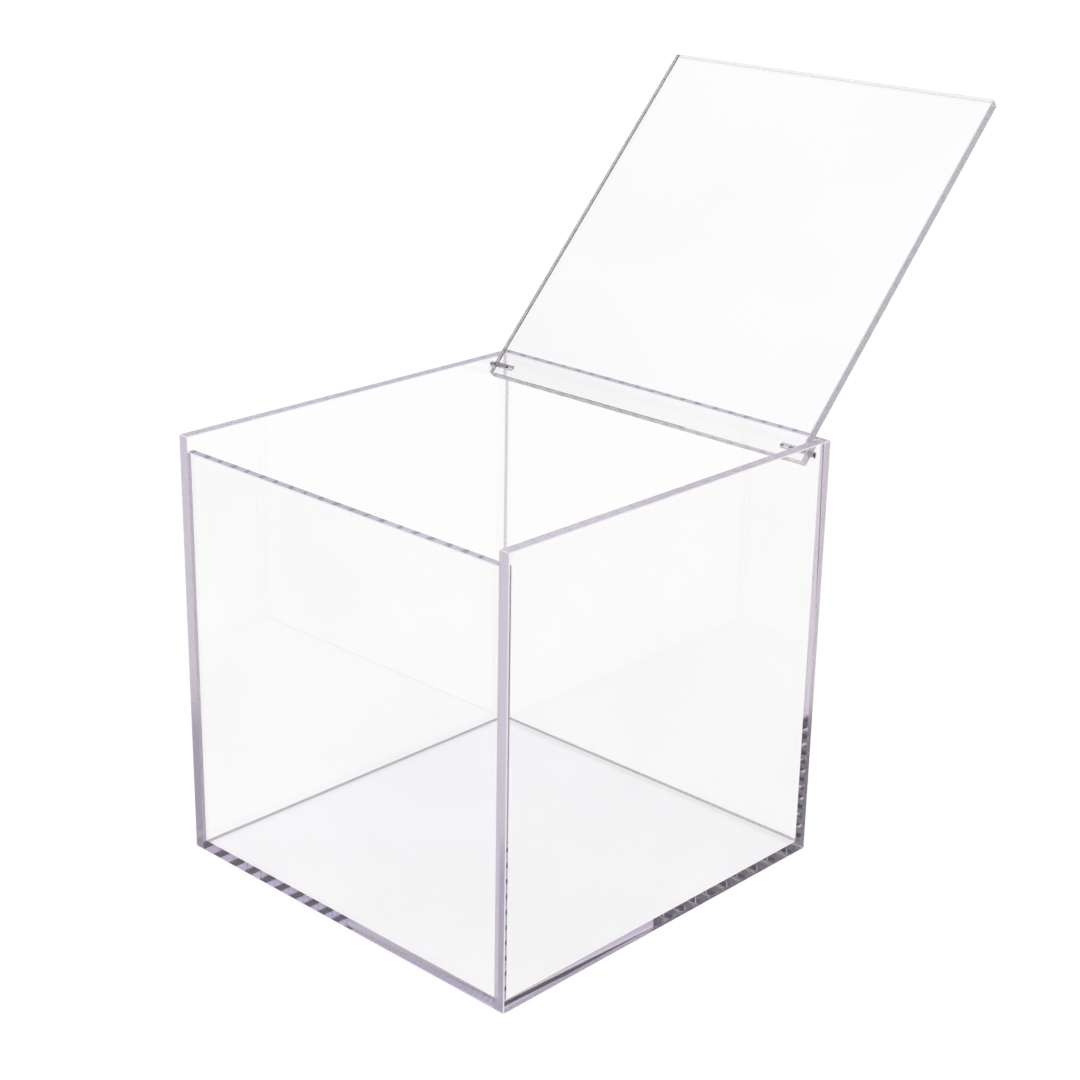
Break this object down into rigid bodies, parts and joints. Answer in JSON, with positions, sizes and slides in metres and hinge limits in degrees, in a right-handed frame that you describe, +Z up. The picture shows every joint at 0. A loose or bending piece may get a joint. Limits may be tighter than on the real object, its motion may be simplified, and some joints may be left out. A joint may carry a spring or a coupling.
{
  "type": "lidded display box",
  "caption": "Clear acrylic box with an open top and a flat lid that swings on hinge pins in its side walls, for small goods or collected donations.",
  "frame": {"origin": "middle of the underside of the box, on the surface that it stands on", "axes": "+Z up, the front wall faces -Y, +X along the hinge axis from the left wall to the right wall"},
  "size_m": [0.15, 0.2398, 0.2508],
  "materials": {
    "base_sheet": "gloss",
    "wall_sheet": "gloss",
    "side_sheet": "gloss",
    "lid_sheet": "gloss",
    "pin_steel": "satin"
  },
  "bodies": {
    "box": {"base_panel": "base_sheet", "front_wall": "wall_sheet", "back_wall": "wall_sheet", "left_wall": "side_sheet", "right_wall": "side_sheet", "left_hinge_pin": "pin_steel", "right_hinge_pin": "pin_steel"},
    "lid": {"lid": "lid_sheet"}
  },
  "joints": [
    {"name": "lid_hinge", "type": "hinge", "parent": "box", "child": "lid", "pos_m": [0, 0.0667, 0.14675], "axis": [1, 0, 0], "range_deg": [0, 133.3]}
  ]
}
